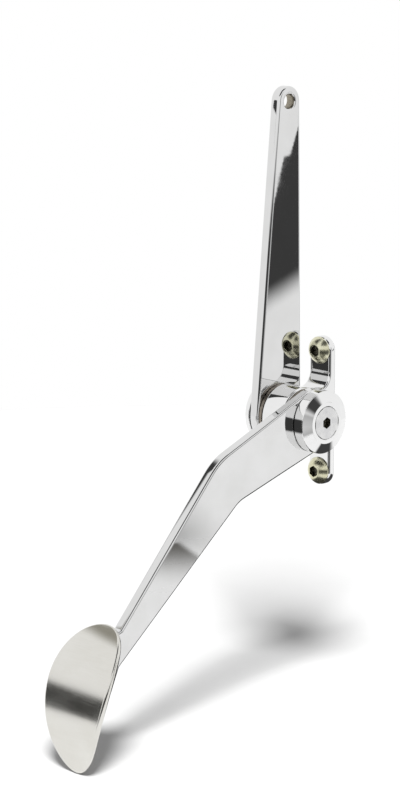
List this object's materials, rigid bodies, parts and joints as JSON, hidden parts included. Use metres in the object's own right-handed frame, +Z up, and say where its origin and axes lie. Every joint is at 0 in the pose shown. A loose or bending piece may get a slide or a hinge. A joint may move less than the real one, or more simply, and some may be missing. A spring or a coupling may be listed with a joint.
{
  "type": "throttle pedal",
  "caption": "Firewall-mounted throttle pedal: bushed pivot bracket, bent arm with an oval spoon pad, and a tall cable lever with an eye.",
  "frame": {"origin": "centre of the pivot bracket's flat back face, which lies on the firewall", "axes": "+Y out of the back face into the firewall, +Z up along the bracket, +X along the pivot shaft towards the pedal arm"},
  "size_m": [0.0428, 0.1495, 0.2498],
  "materials": {
    "polished_metal": "mirror polished",
    "pad_metal": "finely polished, slightly satin",
    "shaft_steel": "turned",
    "cap_screw_steel": "bright",
    "yellow_zinc": "yellow zinc plated, glossy",
    "bushing_bronze": "oiled sintered bronze"
  },
  "bodies": {
    "bracket": {"pivot_bracket": "polished_metal", "pedal_side_bushing": "bushing_bronze", "lever_side_bushing": "bushing_bronze", "upper_mounting_screw": "yellow_zinc", "lower_mounting_screw": "yellow_zinc"},
    "pedal": {"pivot_shaft": "shaft_steel", "pedal_arm": "polished_metal", "spoon_pad": "pad_metal", "throttle_lever": "polished_metal", "pedal_side_cap": "polished_metal", "lever_side_cap": "polished_metal", "pedal_side_cap_screw": "cap_screw_steel", "lever_side_cap_screw": "cap_screw_steel"}
  },
  "joints": [
    {"name": "pedal_pivot", "type": "hinge", "parent": "bracket", "child": "pedal", "pos_m": [0, -0.0188, 0], "axis": [1, 0, 0], "range_deg": [0, 25]}
  ]
}
